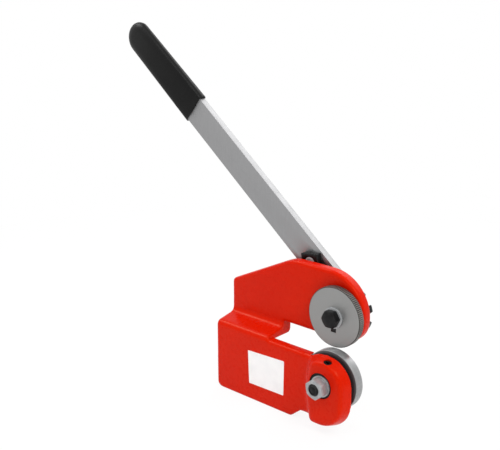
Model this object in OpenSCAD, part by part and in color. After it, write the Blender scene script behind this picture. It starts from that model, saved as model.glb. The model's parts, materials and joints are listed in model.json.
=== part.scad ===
// Bench rotary shear: a cast Z-section frame carries two cutting wheels that just meet.
// The hand lever turns the knurled upper wheel through a pawl and ratchet, and the
// smooth lower wheel rolls freely on an axle that an eccentric bush sets up or down.
//
// Frame of the model: origin in the middle of the foot's underside, +Z up,
// +X toward the cutting wheels, -Y toward the front. Millimetres.

/* [Cutting wheels] */
// Diameter of both cutting wheels
cutter_d = 80; // [70:1:90]
// Width of the knurled upper wheel
upper_cutter_w = 9.5; // [7:0.5:11]
// Width of the smooth lower wheel
lower_cutter_w = 14; // [12:0.5:18]
// How far the lower axis stands out past the upper one
lower_axis_shift = 7.5; // [0:0.5:10]
// Gap between the two rims, along the line of the axes
rim_gap = 0.15; // [0.05:0.05:0.5]
// Gap between the two cutting faces, across the shear plane
side_gap = 0.15; // [0.05:0.05:0.3]
// Width of the chamfer on each wheel's outer rim
rim_chamfer = 0.8; // [0.4:0.1:1.5]
// Number of grooves in the upper wheel's knurl
knurl_count = 90; // [60:1:120]
// Depth of the knurl's grooves
knurl_depth = 0.7; // [0.4:0.1:1]

/* [Frame] */
// Length of the foot
foot_l = 134.5; // [120:0.5:145]
// Height of the foot below the lower arm
foot_h = 12.5; // [8:0.5:18]
// Run of the sloping end of the foot
foot_run = 15; // [10:1:20]
// Thickness of the lower arm and foot
lower_t = 16; // [14:0.5:20]
// Height of the top of the lower arm
lower_top = 96; // [90:0.5:97]
// Thickness of the upper arm
upper_t = 16.5; // [14:0.5:20]
// Distance of the upper axis from the middle of the foot
axis_x = 118.25; // [112:0.25:124]
// Height of the upper axis
axis_z = 147; // [142:1:152]
// Distance of the shear plane behind the middle of the foot
shear_y = 14; // [13:0.5:15]
// Gap from the shear plane to the upper arm
arm_gap = 11.5; // [11:0.25:13]
// Depth of the throat, from the upper axis to its end
throat_l = 92; // [80:1:95]
// Height of the upper arm's underside below the axis
arm_below = 34.5; // [30:0.5:36]
// Radius of the upper arm's round head
head_r = 56; // [53:0.5:60]
// Distance of the head's centre behind the axis
head_back = 18; // [14:1:20]
// Slope of the upper arm's back
back_slope = 26; // [23:0.5:30]
// Height of the upper arm's rear corner above the axis
rear_corner = 4.5; // [0:0.5:10]
// Thickness of the web that joins the arms
web_t = 10; // [8:0.5:12]
// Radius of the casting's shoulder and fillets
shoulder_r = 8; // [6:0.5:9]
// Radius that rounds the casting's edges
edge_r = 4; // [2:0.5:5]

/* [Wheel boss] */
// How far the boss stands in front of the lower arm
boss_front = 12.4; // [10:0.2:14]
// Gap between the boss and the lower wheel
boss_gap = 2.8; // [1.5:0.1:4]
// Height of the boss's underside
boss_low = 7; // [5:0.5:12]
// Radius of the boss's round top, about the lower axle
boss_r = 36.3; // [34:0.1:38]
// Angle from upright at which the boss's round top runs out into the lower arm
boss_run_out = 38; // [34:1:42]
// Radius of the boss's lower corner
boss_low_r = 40; // [30:1:44]
// Taper of the boss toward its front
boss_draft = 4; // [2:0.25:5]
// Clearance around the lower wheel in the lower arm
pocket_clear = 1; // [0.8:0.1:4]

/* [Drive shaft] */
// Diameter of the shaft in the arm
shaft_d = 30; // [28:1:31]
// Outer diameter of the arm's bushing
bushing_d = 36; // [35:0.5:40]
// Diameter of the shaft's nose in the upper wheel
nose_d = 24; // [22:0.5:25]
// Diameter of the shaft's collar
collar_d = 42; // [38:1:46]
// Diameter of the shaft in the ratchet wheel
ratchet_seat_d = 26; // [24:0.5:27]
// Diameter of the shaft in the lever
lever_seat_d = 20; // [18:0.5:21]
// Width of the keys
key_w = 8; // [6:0.5:8]
// Radius that the upper wheel's keyway reaches
keyway_r = 20; // [18.5:0.5:21]
// Height of the ratchet's key above its seat
ratchet_key_h = 3.3; // [2.5:0.1:4]
// Radial running clearance of every bearing
run = 0.05; // [0.02:0.01:0.09]

/* [Ratchet and pawl] */
// Number of ratchet teeth
teeth = 9; // [8:1:10]
// Radius over the ratchet's teeth
ratchet_tip_r = 34; // [33:0.5:35]
// Depth of the ratchet's teeth
tooth_h = 6; // [5:0.5:7]
// Angle of the first driving face
tooth_phase = 25; // [20:1:30]
// Width of the pawl
pawl_w = 26; // [24:0.4:28]
// Height of the pawl above its pivot
pawl_head = 13; // [12:0.5:16]
// Tilt of the pawl from upright
pawl_tilt = 8; // [6:0.5:13]
// Clearance of the hook in the ratchet's gap
hook_clear = 1; // [0.5:0.1:1.5]
// Distance of the pawl's pivot from the shaft
pawl_pivot = 80; // [78:0.5:83]
// Diameter of the pawl's bolt
pawl_bolt_d = 10; // [8:1:10]

/* [Lever] */
// Angle of the lever from upright, toward the back
lever_angle = 51; // [40:1:60]
// Width of the lever
lever_w = 40; // [36:1:46]
// Thickness of the lever
lever_t = 10; // [8:0.5:12]
// Length of the lever from the shaft to its far end
lever_l = 531; // [400:1:600]
// Length of the grip
grip_l = 168; // [120:1:180]
// Wall of the grip
grip_wall = 3.2; // [2:0.1:4]
// Gap in front of the lever, in which the ratchet runs
lever_gap = 9.5; // [9:0.25:11]
// Wall of the lever's bushing
lever_bush_wall = 2.5; // [2:0.25:3]
// Side clearance of the ratchet, the pawl and the lever
side_run = 0.4; // [0.3:0.05:0.6]

/* [Lower axle] */
// Diameter of the eccentric bush
eccentric_d = 34; // [30:0.5:36]
// Offset between the eccentric bush and the axle
eccentric = 0.8; // [0.4:0.1:1.5]
// Depth of the bush's face below the boss
eccentric_recess = 1.1; // [0.6:0.1:2]
// Diameter of the axle in the lower wheel
axle_d = 22; // [20:0.5:24]
// Wall of the lower wheel's bushing
axle_bush_wall = 3; // [2:0.5:4]
// Diameter of the axle's head
axle_head_d = 34; // [32:0.5:36]
// Thickness of the axle's head
axle_head_h = 4; // [3:0.25:5]
// Diameter of the axle's stud
stud_d = 16; // [14:1:16]
// Length of the stud past its nut
stud_out = 1.6; // [1:0.2:4]

/* [Fasteners] */
// Diameter of the washer under the axle nut
axle_washer_d = 28; // [26:0.5:30]
// Thickness of the axle washer and the cutter washer
washer_t = 2.5; // [2:0.1:3]
// Width across flats of the axle nut
axle_nut_af = 24; // [22:0.5:24]
// Height of the axle nut
axle_nut_h = 13; // [11:0.5:14]
// Diameter of the upper wheel's bolt
cutter_bolt_d = 14; // [12:1:14]
// Width across flats of the upper wheel's bolt
cutter_bolt_af = 21; // [19:0.5:22]
// Height of the head of the upper wheel's bolt
cutter_bolt_h = 8.8; // [7:0.2:10]
// Diameter of the washer on the upper wheel
cutter_washer_d = 28; // [27:0.5:34]
// Diameter of the lever's bolt
lever_bolt_d = 12; // [10:1:12]
// Width across flats of the lever's bolt
lever_bolt_af = 19; // [17:0.5:20]
// Height of the head of the lever's bolt
lever_bolt_h = 7.5; // [6:0.25:9]
// Diameter of the washer behind the lever
lever_washer_d = 34; // [30:0.5:38]
// Width across flats of the pawl's nut
pawl_nut_af = 17; // [15:0.5:18]
// Height of the pawl's nut
pawl_nut_h = 8; // [6:0.5:9]
// Diameter of the bolt head sunk in the pawl
pawl_bolt_head_d = 17; // [15:0.25:20]
// Diameter of the set screw in the boss
set_screw_d = 12; // [8:0.5:13]
// Angle of the set screw from upright, about the eccentric bush
set_screw_angle = 11; // [0:1:20]
// Depth of the set screw below the top of its hole
set_screw_recess = 0.8; // [0.4:0.1:3]
// Diameter of the foot's tapped holes
foot_hole_d = 10; // [8:0.5:10]
// Distance between the foot's tapped holes
foot_hole_gap = 80; // [60:1:90]
// Depth of the foot's tapped holes
foot_hole_depth = 22; // [15:1:30]

/* [Pawl spring] */
// Diameter of the spring's wire
wire_d = 1.4; // [1:0.1:1.6]
// Diameter of the spring's coil, to the middle of the wire
coil_d = 17; // [15:0.5:18]
// Number of turns
coil_turns = 2; // [1:1:2]
// Depth of the spring's pocket in the lever
spring_pocket = 4.5; // [4:0.25:5]

/* [Hidden] */
$fn = 96;
over = 1;              // overrun of every cut past the surface it starts from
corner_steps = 8;      // facets in each rounded corner of an outline
arc_steps = 28;        // facets in each large arc of an outline

// Places along Y, from the front to the back
lower_face = shear_y - side_gap;                        // cutting face of the lower wheel
lower_front = lower_face - lower_cutter_w;              // front of the lower wheel
boss_back = lower_front - boss_gap;                     // back of the boss
boss_face = -lower_t / 2 - boss_front;                  // front of the boss
eccentric_face = boss_face + eccentric_recess;          // front of the eccentric bush
eccentric_back = lower_front - side_gap;                // back of the eccentric bush
arm_front = shear_y + arm_gap;                          // front of the upper arm
arm_back = arm_front + upper_t;                         // back of the upper arm
upper_back = shear_y + upper_cutter_w;                  // back of the upper wheel
lever_front = arm_back + lever_gap;                     // front of the lever
lever_back = lever_front + lever_t;                     // back of the lever
ratchet_front = arm_back + side_run;
ratchet_back = lever_front - side_run;

// Axes
lower_x = axis_x + lower_axis_shift;
lower_z = axis_z - sqrt(pow(cutter_d + rim_gap, 2) - pow(lower_axis_shift, 2));
bush_x = lower_x - eccentric;
pivot = [axis_x - pawl_pivot * sin(lever_angle), axis_z + pawl_pivot * cos(lever_angle)];

// The casting
boss_top = lower_z + boss_r;
boss_right = lower_x + boss_r;
arm_low = axis_z - arm_below;
throat_x = axis_x - throat_l;
web_low = lower_top - 0.35 * web_t;
boss_bulge = 0.17 * boss_r;  // how far the boss's left side swells around its bore
set_screw_y = boss_face + 0.37 * (boss_back - boss_face);
set_screw_top = boss_r - 0.88 * boss_draft;      // distance of the boss's skin at the screw from the axle
boss_edge = 1.2 * edge_r;    // rounding of the boss's front edge
skin = 0.02 * edge_r;        // thickness of the slices that a rounded plate is drawn from

// Unit vector, and points of the arc that rounds corner b with radius r
function unit(v) = v / norm(v);
function corner(a, b, c, r, n) =
    r <= skin ? [b] :
    let (u = unit(a - b), v = unit(c - b),
         half = acos(max(-1, min(1, u * v))) / 2,
         centre = b + unit(u + v) * r / sin(half),
         first = b + u * r / tan(half) - centre,
         last = b + v * r / tan(half) - centre,
         start = atan2(first.y, first.x),
         turn = atan2(first.x * last.y - first.y * last.x, first * last))
    [for (i = [0:n]) centre + r * [cos(start + turn * i / n), sin(start + turn * i / n)]];

// Outline with its corners rounded: each item is [point, radius]
function steps_for(r) = r > 2 * boss_low_r / 3 ? arc_steps : corner_steps;
function rounded(path) = let (n = len(path))
    [for (i = [0:n - 1]) each corner(path[(i + n - 1) % n][0], path[i][0], path[(i + 1) % n][0],
                                     path[i][1], steps_for(path[i][1]))];

// A convex outline, drawn anticlockwise, with every side moved inward by d
function inward(a, b) = let (u = unit(b - a)) [-u.y, u.x];
function inset(path, d) = let (n = len(path))
    [for (i = [0:n - 1])
        let (p = inward(path[(i + n - 1) % n][0], path[i][0]),
             q = inward(path[i][0], path[(i + 1) % n][0]))
        [path[i][0] + d * (p + q) / (1 + p * q), max(path[i][1] - d, 0)]];

// Stands an XZ outline up, with its front at y and thickness t going back
module stand(y, t) translate([0, y + t, 0]) rotate([90, 0, 0]) linear_extrude(t) children();

// Thin slice of a rounded plate at depth y
module slice(path, y, d) stand(y, skin) polygon(rounded(inset(path, d)));

// Convex plate between y0 and y1 whose front and back edges are rounded with radius r
module soft_plate(path, y0, y1, r)
    hull() {
        stand(y0 + r, y1 - y0 - 2 * r) polygon(rounded(path));
        for (a = [30, 60, 90]) {
            slice(path, y0 + r * (1 - sin(a)), r * (1 - cos(a)));
            slice(path, y1 - skin - r * (1 - sin(a)), r * (1 - cos(a)));
        }
    }

// Round bar along Y, from y0 to y1
module bar_y(x, z, d, y0, y1) translate([x, y1, z]) rotate([90, 0, 0]) cylinder(d = d, h = y1 - y0);

// Hexagon along Y, from y0 to y1, with the 30 degree chamfer of a real head or nut on one or both ends
module hex_y(x, z, af, y0, y1, turn, front = true, back = false) {
    across = af / cos(30);
    flat = 0.48 * af;               // radius at which the chamfer starts
    outer = 0.51 * across;
    drop = (outer - flat) * tan(30);
    h = y1 - y0;
    intersection() {
        translate([x, y1, z]) rotate([90, turn, 0]) cylinder(d = across, h = h, $fn = 6);
        translate([x, y1, z]) rotate([90, 0, 0])
            rotate_extrude()
                polygon([[0, 0], [back ? flat : outer, 0], [outer, back ? drop : 0],
                         [outer, h - (front ? drop : 0)], [front ? flat : outer, h], [0, h]]);
    }
}

// Outline of the upper arm: back, slope, top, round head and underside
head_end = -8;       // angle at which the head's arc ends
function head_point(a) = [axis_x - head_back + head_r * cos(a), axis_z + head_r * sin(a)];
function arm_outline() =
    let (top = axis_z + head_r, left = -foot_l / 2, rear = axis_z + rear_corner,
         end = head_point(head_end), along = [-sin(head_end), cos(head_end)],
         low = end - along * (end.y - arm_low) / along.y,
         peak = end + along * (top - end.y) / along.y)
    [[[left, arm_low], edge_r / 2],
     [low, 0.55 * head_r],
     [peak, head_r],
     [[left + (top - rear) / tan(back_slope), top], head_r],
     [[left, rear], 1.5 * edge_r]];

// Outline of the boss: round about the axle above and on the right, its left side swelling around the bore
function boss_outline(shift) =
    let (left = lower_x - boss_r * sin(boss_run_out) - shift,
         shoulder = lower_z + boss_r * cos(boss_run_out),
         h = boss_top - boss_low)
    [[[left, boss_low], edge_r],
     [[boss_right, boss_low], boss_low_r],
     [[boss_right, boss_top], boss_r],
     [[lower_x - boss_r * tan(boss_run_out / 2), boss_top], boss_r],
     [[left, shoulder], edge_r],
     [[left - boss_bulge, boss_top - 0.36 * h], boss_low_r],
     [[left - boss_bulge, boss_low + 0.36 * h], boss_low_r]];

// Convex bar along X whose left end is rounded with radius r; its outline is given in Y and Z
module along(x, t) translate([x, 0, 0]) rotate([90, 0, 90]) linear_extrude(t) children();
module soft_bar(path, r)
    hull() {
        along(r - foot_l / 2, throat_x + foot_l / 2 - r) polygon(rounded(path));
        for (a = [30, 60, 90])
            along(r * (1 - sin(a)) - foot_l / 2, skin) polygon(rounded(inset(path, r * (1 - cos(a)))));
    }

// The web that carries the upper arm: shoulder in front, slab, upright behind, and the fillet between them
web_rise = 0.16;      // slope of the web's upper face
function web_top(y) = lower_top + web_t / 2 + web_rise * (y + lower_t / 2 - shoulder_r);
module web() {
    front = -lower_t / 2;
    soft_bar([[[front, lower_top - 2 * edge_r], 0], [[lower_t / 2, lower_top - 2 * edge_r], 0],
              [[lower_t / 2, web_top(lower_t / 2)], 0], [[front, web_top(front)], shoulder_r]], edge_r);
    soft_bar([[[0, web_low], 0], [[arm_back, web_low], 1.5 * edge_r],
              [[arm_back, web_top(arm_back)], 0], [[0, web_top(0)], 0]], edge_r);
    soft_bar([[[arm_front, web_low + edge_r], 0], [[arm_back, web_low + 2 * edge_r], 0],
              [[arm_back, arm_low + 2 * edge_r], 0], [[arm_front, arm_low + 2 * edge_r], 0]], edge_r);
    y0 = arm_front - 2 * shoulder_r;
    z1 = web_top(arm_front) + 2 * shoulder_r;
    translate([edge_r / 2, 0, 0]) along(-foot_l / 2, throat_x + foot_l / 2 - edge_r / 2)
        polygon(rounded([[[y0, web_low + edge_r], 0], [[arm_front + edge_r, web_low + edge_r], 0],
                         [[arm_front + edge_r, z1], 0], [[arm_front, z1], 0],
                         [[arm_front, web_top(arm_front)], 1.1 * shoulder_r], [[y0, web_top(y0)], 0]]));
}

// The set screw's frame: the eccentric bush's middle at the origin, the hole along local Z
module at_set_screw() translate([bush_x, set_screw_y, lower_z]) rotate([0, set_screw_angle, 0]) children();

module frame() color([0.80, 0.13, 0.07]) {
    difference() {
        union() {
            soft_plate(arm_outline(), arm_front, arm_back, edge_r);
            web();
            soft_plate([[[-foot_l / 2, foot_h], edge_r], [[lower_x, foot_h], edge_r],
                        [[lower_x, lower_top], edge_r], [[-foot_l / 2, lower_top], edge_r]],
                       -lower_t / 2, lower_t / 2, edge_r);
            soft_plate([[[-foot_l / 2, 0], 2.5 * edge_r], [[foot_l / 2, 0], edge_r],
                        [[foot_l / 2 + foot_run, foot_h], edge_r],
                        [[foot_l / 2 + foot_run, 4 * foot_h], edge_r], [[-foot_l / 2, 4 * foot_h], edge_r]],
                       -lower_t / 2, lower_t / 2, edge_r / 2);
            hull() {
                for (a = [0, 30, 60, 90])
                    slice(boss_outline(0), boss_face + boss_edge * (1 - sin(a)),
                          boss_draft + boss_edge * (1 - cos(a)));
                slice(boss_outline(1.5 * edge_r), boss_back - skin, 0);
            }
        }
        // Room for the lower wheel in the back of the lower arm
        bar_y(lower_x, lower_z, cutter_d + 2 * pocket_clear, boss_back, lower_t / 2 + over);
        // Bore for the eccentric bush
        bar_y(bush_x, lower_z, eccentric_d, boss_face - over, boss_back + over);
        // Bore for the shaft's bushing
        bar_y(axis_x, axis_z, bushing_d, arm_front - over, arm_back + over);
        // Hole for the set screw, from the top of the boss into the bush's bore
        at_set_screw() cylinder(d = set_screw_d, h = boss_r + over);
        // Tapped holes in the foot
        for (side = [-1, 1])
            translate([side * foot_hole_gap / 2, 0, -over])
                cylinder(d = foot_hole_d, h = foot_hole_depth + over);
    }
}

module arm_bushing() color([0.72, 0.55, 0.25])
    difference() {
        bar_y(axis_x, axis_z, bushing_d, arm_front, arm_back);
        bar_y(axis_x, axis_z, shaft_d + 2 * run, arm_front - over, arm_back + over);
    }

// Depth of the blind holes for the bolts at both ends of the shaft
nose_bolt_l = upper_cutter_w + 1.2 * cutter_bolt_d;
tail_bolt_l = lever_t + lever_bolt_d;
nose_end = shear_y + side_gap;
tail_end = lever_back + side_run / 2;

module drive_shaft() color([0.62, 0.62, 0.64])
    difference() {
        union() {
            bar_y(axis_x, axis_z, nose_d, nose_end, upper_back);
            bar_y(axis_x, axis_z, collar_d, upper_back, arm_front - side_run / 2);
            bar_y(axis_x, axis_z, shaft_d, upper_back, ratchet_front);
            bar_y(axis_x, axis_z, ratchet_seat_d, ratchet_front, ratchet_back);
            bar_y(axis_x, axis_z, lever_seat_d, ratchet_back, tail_end);
        }
        bar_y(axis_x, axis_z, cutter_bolt_d, nose_end - over, nose_end + nose_bolt_l);
        bar_y(axis_x, axis_z, lever_bolt_d, tail_end - tail_bolt_l, tail_end + over);
        key_block(cutter_key_in, nose_d, nose_end - over, upper_back);
        mirror_key() key_block(ratchet_key_in, ratchet_seat_d, ratchet_front, ratchet_back + over);
    }

// Keys: a block of the key's width, from radius r_in outward, below or above the axis
cutter_key_in = (nose_d / 2 + cutter_bolt_d / 2) / 2;
ratchet_key_in = ratchet_seat_d / 2 - ratchet_key_h;
module key_block(r_in, r_out, y0, y1)
    translate([axis_x - key_w / 2, y0, axis_z - r_out]) cube([key_w, y1 - y0, r_out - r_in]);
module mirror_key() translate([0, 0, 2 * axis_z]) mirror([0, 0, 1]) children();

module cutter_key() color([0.22, 0.22, 0.23])
    key_block(cutter_key_in, keyway_r - run, nose_end, upper_back);

module ratchet_key() color([0.22, 0.22, 0.23])
    mirror_key()
        key_block(ratchet_key_in, ratchet_seat_d / 2 + ratchet_key_h - run, ratchet_front, ratchet_back);

// Rim of the upper wheel: three points for each groove of the knurl
module upper_cutter() color([0.50, 0.50, 0.51]) {
    pitch = 360 / knurl_count;
    land_share = 0.35;
    r = cutter_d / 2;
    groove = [[0, 0], [land_share, 0], [(1 + land_share) / 2, knurl_depth]];
    rim = [for (i = [0:knurl_count - 1], p = groove)
           let (a = (i + p[0]) * pitch) (r - p[1]) * [cos(a), sin(a)]];
    difference() {
        intersection() {
            translate([axis_x, 0, axis_z]) stand(shear_y, upper_cutter_w) polygon(rim);
            translate([axis_x, upper_back, axis_z]) rotate([90, 0, 0]) rotate_extrude()
                polygon([[0, 0], [r - rim_chamfer, 0], [r, rim_chamfer], [r, upper_cutter_w],
                         [0, upper_cutter_w]]);
        }
        bar_y(axis_x, axis_z, nose_d, shear_y - over, upper_back + over);
        key_block(0, keyway_r, shear_y - over, upper_back + over);
    }
}

module washer_y(x, z, d, hole, y0, y1)
    difference() {
        bar_y(x, z, d, y0, y1);
        bar_y(x, z, hole, y0 - over, y1 + over);
    }

module cutter_washer() color([0.75, 0.75, 0.76])
    washer_y(axis_x, axis_z, cutter_washer_d, cutter_bolt_d + 10 * run, shear_y - washer_t, shear_y);

module cutter_bolt() color([0.12, 0.12, 0.12]) {
    head = shear_y - washer_t;
    hex_y(axis_x, axis_z, cutter_bolt_af, head - cutter_bolt_h, head, -4);
    bar_y(axis_x, axis_z, cutter_bolt_d, head, nose_end + nose_bolt_l - cutter_bolt_d / 4);
}

// Ratchet: a radial driving face, a land and a ramp for each tooth
land_share = 0.38;
ramp_share = 0.24;
pitch = 360 / teeth;
ratchet_root_r = ratchet_tip_r - tooth_h;
function polar(r, a) = r * [cos(a), sin(a)];
module ratchet_wheel() color([0.15, 0.15, 0.16]) {
    outline = [for (i = [0:teeth - 1])
               let (face = tooth_phase - i * pitch, land = face - land_share * pitch,
                    ramp = land - ramp_share * pitch, next = face - pitch)
               each concat([polar(ratchet_root_r, face)],
                           [for (k = [0:4]) polar(ratchet_tip_r, face + (land - face) * k / 4)],
                           [for (k = [0:3]) polar(ratchet_root_r, ramp + (next - ramp) * k / 4)])];
    difference() {
        translate([axis_x, 0, axis_z]) stand(ratchet_front, ratchet_back - ratchet_front) polygon(outline);
        bar_y(axis_x, axis_z, ratchet_seat_d, ratchet_front - over, ratchet_back + over);
        mirror_key()
            key_block(0, ratchet_seat_d / 2 + ratchet_key_h, ratchet_front - over, ratchet_back + over);
    }
}

// The lever's own frame: the shaft at the origin, the lever along its local Z
module on_lever() translate([axis_x, 0, axis_z]) rotate([0, -lever_angle, 0]) children();

module lever_bar() color([0.66, 0.66, 0.67])
    on_lever() difference() {
        union() {
            translate([-lever_w / 2, lever_front, 0]) cube([lever_w, lever_t, lever_l - lever_w / 2]);
            bar_y(0, 0, lever_w, lever_front, lever_back);
            bar_y(0, lever_l - lever_w / 2, lever_w, lever_front, lever_back);
        }
        bar_y(0, 0, lever_seat_d + 2 * lever_bush_wall, lever_front - over, lever_back + over);
        bar_y(0, pawl_pivot, pawl_bolt_d, lever_front - over, lever_back + over);
        bar_y(0, pawl_pivot, coil_d + 3 * wire_d, lever_front - over, lever_front + spring_pocket);
        translate([0, 0, pawl_pivot]) rotate([0, lever_angle - pawl_tilt, 0])
            bar_y(0, -coil_d / 2, 1.3 * wire_d, lever_front, lever_front + spring_pocket + leg);
    }

module grip() color([0.10, 0.10, 0.10])
    on_lever() difference() {
        grip_w = lever_w / 2 + grip_wall;
        end = lever_l + grip_wall;
        soft_plate([[[-grip_w, end - grip_l], 0], [[grip_w, end - grip_l], 0],
                    [[grip_w, end], 0.98 * grip_w], [[-grip_w, end], 0.98 * grip_w]],
                   lever_front - grip_wall, lever_back + grip_wall, 1.2 * grip_wall);
        translate([-lever_w / 2, lever_front, end - grip_l - over])
            cube([lever_w, lever_t, lever_l - lever_w / 2 - end + grip_l + over]);
        bar_y(0, lever_l - lever_w / 2, lever_w, lever_front, lever_back);
    }

module lever_bushing() color([0.72, 0.55, 0.25])
    washer_y(axis_x, axis_z, lever_seat_d + 2 * lever_bush_wall, lever_seat_d + 2 * run,
             lever_front - side_run / 2, lever_back);

module lever_washer() color([0.72, 0.72, 0.73])
    washer_y(axis_x, axis_z, lever_washer_d, lever_bolt_d + 10 * run, tail_end, tail_end + washer_t);

module lever_bolt() color([0.12, 0.12, 0.12]) {
    head = tail_end + washer_t;
    hex_y(axis_x, axis_z, lever_bolt_af, head, head + lever_bolt_h, 10, front = false, back = true);
    bar_y(axis_x, axis_z, lever_bolt_d, tail_end - tail_bolt_l + lever_bolt_d / 4, head);
}

// The pawl's own frame: its pivot at the origin, its length along local Z
pawl_front = ratchet_front;
pawl_back = lever_front - 0.75 * side_run;
pawl_head_sink = (pawl_back - pawl_front) / 3;      // depth of the bolt head's seat
module on_pawl() translate([pivot.x, 0, pivot.y]) rotate([0, -pawl_tilt, 0]) children();
function to_pawl(p) = let (d = p - pivot)
    [d.x * cos(pawl_tilt) + d.y * sin(pawl_tilt), d.y * cos(pawl_tilt) - d.x * sin(pawl_tilt)];
function on_wheel(r, a) = to_pawl([axis_x, axis_z] + polar(r, a));

module pawl() color([0.13, 0.13, 0.13]) {
    side = pawl_w / 2;
    face = tooth_phase + pitch * round((225 - tooth_phase) / pitch);      // driving face that the hook holds
    gap = (1 - land_share - ramp_share) * pitch;                          // open angle at the root
    out_r = ratchet_tip_r + 1.2 * hook_clear;
    in_r = ratchet_root_r + hook_clear;
    slack = hook_clear / 2 / in_r * 180 / PI;
    lip = on_wheel(ratchet_tip_r, face + slack / 4);                      // next to the held tooth's corner
    lift = unit([lip.y, -lip.x]);                                         // way that the hook lifts
    throat = lip + lift * 1.2 * hook_clear;
    tip = lip - lift * 1.1 * (tooth_h - hook_clear);
    tip_end = on_wheel(in_r, face + gap - slack);
    heel = on_wheel(out_r, face + gap + 0.7 * ramp_share * pitch);
    toe = on_wheel(out_r + pawl_w / 4, face + gap);
    outer = on_wheel(out_r + pawl_w / 1.8, face - gap / 2);
    path = [[[side, pawl_head], side / 12], [[-side, pawl_head], side / 12],
            [[-side, -1.6 * pawl_w / 2], pawl_w],
            [outer, pawl_w / 2], [toe, side / 3], [heel, side / 12],
            [tip_end, side / 24], [tip, side / 24], [throat, side / 12],
            [[side, throat.y + 0.6 * pawl_w], side / 3]];
    on_pawl() difference() {
        stand(pawl_front, pawl_back - pawl_front) polygon(rounded(path));
        bar_y(0, 0, pawl_bolt_d + 2 * run, pawl_front - over, pawl_back + over);
        bar_y(0, 0, pawl_bolt_head_d + 4 * run, pawl_front - over, pawl_front + pawl_head_sink);
        // Hole that takes the spring's leg
        bar_y(0, -coil_d / 2, 4.5 * wire_d, pawl_back - 2 * wire_d, pawl_back + over);
    }
}

module pawl_bolt() color([0.70, 0.70, 0.71]) {
    seat = pawl_front + pawl_head_sink;
    difference() {
        union() {
            bar_y(pivot.x, pivot.y, pawl_bolt_head_d, pawl_front + side_run / 2, seat - run);
            bar_y(pivot.x, pivot.y, pawl_bolt_d, pawl_front + side_run,
                  lever_back + washer_t + pawl_nut_h + stud_out);
        }
        hex_y(pivot.x, pivot.y, pawl_bolt_d / 2, pawl_front, seat + over, 15, front = false);
    }
}

module pawl_washer() color([0.75, 0.75, 0.76])
    washer_y(pivot.x, pivot.y, 2 * pawl_bolt_d, pawl_bolt_d, lever_back, lever_back + 0.8 * washer_t);

module pawl_nut() color([0.75, 0.75, 0.76])
    difference() {
        y0 = lever_back + 0.8 * washer_t;
        hex_y(pivot.x, pivot.y, pawl_nut_af, y0, y0 + pawl_nut_h, 20, front = false, back = true);
        bar_y(pivot.x, pivot.y, pawl_bolt_d, y0 - over, y0 + pawl_nut_h + over);
    }

// Torsion spring in the lever's pocket: its legs reach into the lever and into the pawl
function tube_ring(p, t, n, r, sides) =
    let (b = cross(unit(t), n))
    [for (k = [0:sides - 1]) p + r * (cos(360 * k / sides) * n + sin(360 * k / sides) * b)];
module tube(points, normals, r, sides) {
    n = len(points);
    rings = [for (i = [0:n - 1])
             tube_ring(points[i], points[min(i + 1, n - 1)] - points[max(i - 1, 0)], normals[i], r, sides)];
    polyhedron(points = [for (ring = rings) each ring],
               faces = concat([[for (k = [0:sides - 1]) k]],
                              [for (i = [0:n - 2], k = [0:sides - 1])
                               let (a = i * sides + k, b = i * sides + (k + 1) % sides)
                               each [[a, a + sides, b + sides], [a, b + sides, b]]],
                              [[for (k = [sides - 1:-1:0]) (n - 1) * sides + k]]));
}
leg = 2 * wire_d;
spring_end = -90 + pawl_tilt;      // both ends of the spring lie on this side of the pivot
module pawl_spring() color([0.55, 0.55, 0.56]) {
    ring = 24;
    climb = wire_d * 1.12;
    y0 = lever_front + spring_pocket - 0.6 * wire_d;
    turn = [for (i = [0:ring * coil_turns]) [spring_end + 360 * i / ring, y0 - climb * i / ring]];
    ends = concat([[turn[0][0], y0 + leg]], turn, [turn[len(turn) - 1] - [0, leg]]);
    tube([for (e = ends) [pivot.x + coil_d / 2 * cos(e[0]), e[1], pivot.y + coil_d / 2 * sin(e[0])]],
         [for (e = ends) [cos(e[0]), 0, sin(e[0])]], wire_d / 2, 8);
}

module lower_cutter() color([0.68, 0.68, 0.69]) {
    r = cutter_d / 2;
    c = rim_chamfer;
    difference() {
        translate([lower_x, lower_face, lower_z]) rotate([90, 0, 0]) rotate_extrude()
            polygon([[0, 0], [r, 0], [r, lower_cutter_w - c], [r - c, lower_cutter_w], [0, lower_cutter_w]]);
        bar_y(lower_x, lower_z, axle_d + 2 * axle_bush_wall, lower_front - over, lower_face + over);
        bar_y(lower_x, lower_z, axle_head_d + 2 * side_run, head_seat, lower_face + over);
    }
}
head_seat = lower_face - axle_head_h - side_run;      // floor of the recess for the axle's head

module cutter_bushing() color([0.72, 0.55, 0.25])
    washer_y(lower_x, lower_z, axle_d + 2 * axle_bush_wall, axle_d + 2 * run, lower_front, head_seat);

module eccentric_bush() color([0.10, 0.10, 0.10])
    difference() {
        bar_y(bush_x, lower_z, eccentric_d - 2 * run, eccentric_face, eccentric_back);
        bar_y(lower_x, lower_z, stud_d, eccentric_face - over, eccentric_back + over);
    }

module lower_axle() color([0.35, 0.35, 0.36]) {
    head = head_seat + side_run / 2;
    bar_y(lower_x, lower_z, axle_head_d, head, head + axle_head_h);
    bar_y(lower_x, lower_z, axle_d, eccentric_back, head);
    bar_y(lower_x, lower_z, stud_d, nut_front - stud_out, eccentric_back);
}
nut_front = eccentric_face - washer_t - axle_nut_h;

module axle_washer() color([0.75, 0.75, 0.76])
    washer_y(lower_x, lower_z, axle_washer_d, stud_d, eccentric_face - washer_t, eccentric_face);

module axle_nut() color([0.75, 0.75, 0.76])
    difference() {
        hex_y(lower_x, lower_z, axle_nut_af, nut_front, nut_front + axle_nut_h, 20, back = true);
        bar_y(lower_x, lower_z, stud_d, nut_front - over, nut_front + axle_nut_h + over);
    }

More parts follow.
